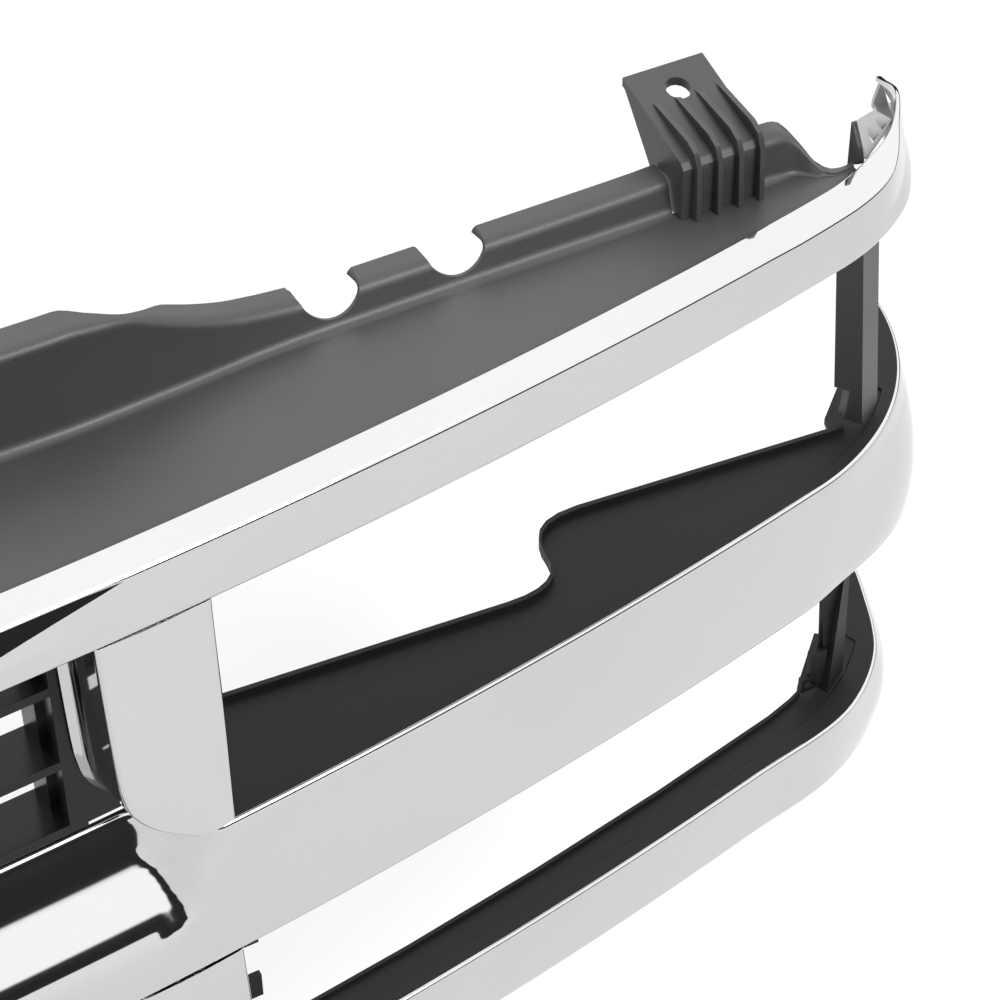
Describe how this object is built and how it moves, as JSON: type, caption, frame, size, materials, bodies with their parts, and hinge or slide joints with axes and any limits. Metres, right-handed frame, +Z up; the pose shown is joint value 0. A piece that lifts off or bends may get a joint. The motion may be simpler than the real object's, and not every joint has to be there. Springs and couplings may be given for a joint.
{
  "type": "front grille",
  "caption": "Full-width truck front grille: chrome bars and posts with wrapped ends over a black carrier, slatted inserts, lamp openings and mounting tabs.",
  "frame": {"origin": "centre of the whole grille's bounding box, on its plane of symmetry", "axes": "+X to the right along the bars seen from the front, +Y towards the back of the vehicle, +Z up"},
  "size_m": [1.87, 0.184, 0.412],
  "materials": {
    "chrome": "bright chrome plating on moulded plastic",
    "black_plastic": "satin moulded black with fine grain",
    "insert_black": "semi-gloss black slats",
    "zinc_steel": "zinc-plated fasteners"
  },
  "bodies": {
    "root": {"upper_bar": "chrome", "middle_bar": "chrome", "lower_bar": "chrome", "upper_post_right": "chrome", "upper_post_left": "chrome", "lower_post_right": "chrome", "lower_post_left": "chrome", "wrap_gusset_right": "chrome", "wrap_gusset_left": "chrome", "badge_blank": "chrome", "upper_insert": "insert_black", "lower_insert": "insert_black", "top_panel": "black_plastic", "mounting_tab_right": "black_plastic", "mounting_tab_left": "black_plastic", "headlamp_floor_right": "black_plastic", "headlamp_floor_left": "black_plastic", "lamp_shelf_right": "black_plastic", "lamp_shelf_left": "black_plastic", "upper_pillar_right": "black_plastic", "upper_pillar_left": "black_plastic", "lower_pillar_right": "black_plastic", "lower_pillar_left": "black_plastic", "upper_rail_right": "black_plastic", "upper_rail_left": "black_plastic", "lower_rail_right": "black_plastic", "lower_rail_left": "black_plastic", "badge_nut_1": "zinc_steel", "badge_nut_2": "zinc_steel", "insert_screw_right_1": "zinc_steel", "insert_screw_left_1": "zinc_steel", "insert_screw_right_2": "zinc_steel", "insert_screw_left_2": "zinc_steel", "insert_screw_right_3": "zinc_steel", "insert_screw_left_3": "zinc_steel", "insert_screw_right_4": "zinc_steel", "insert_screw_left_4": "zinc_steel"}
  },
  "joints": []
}
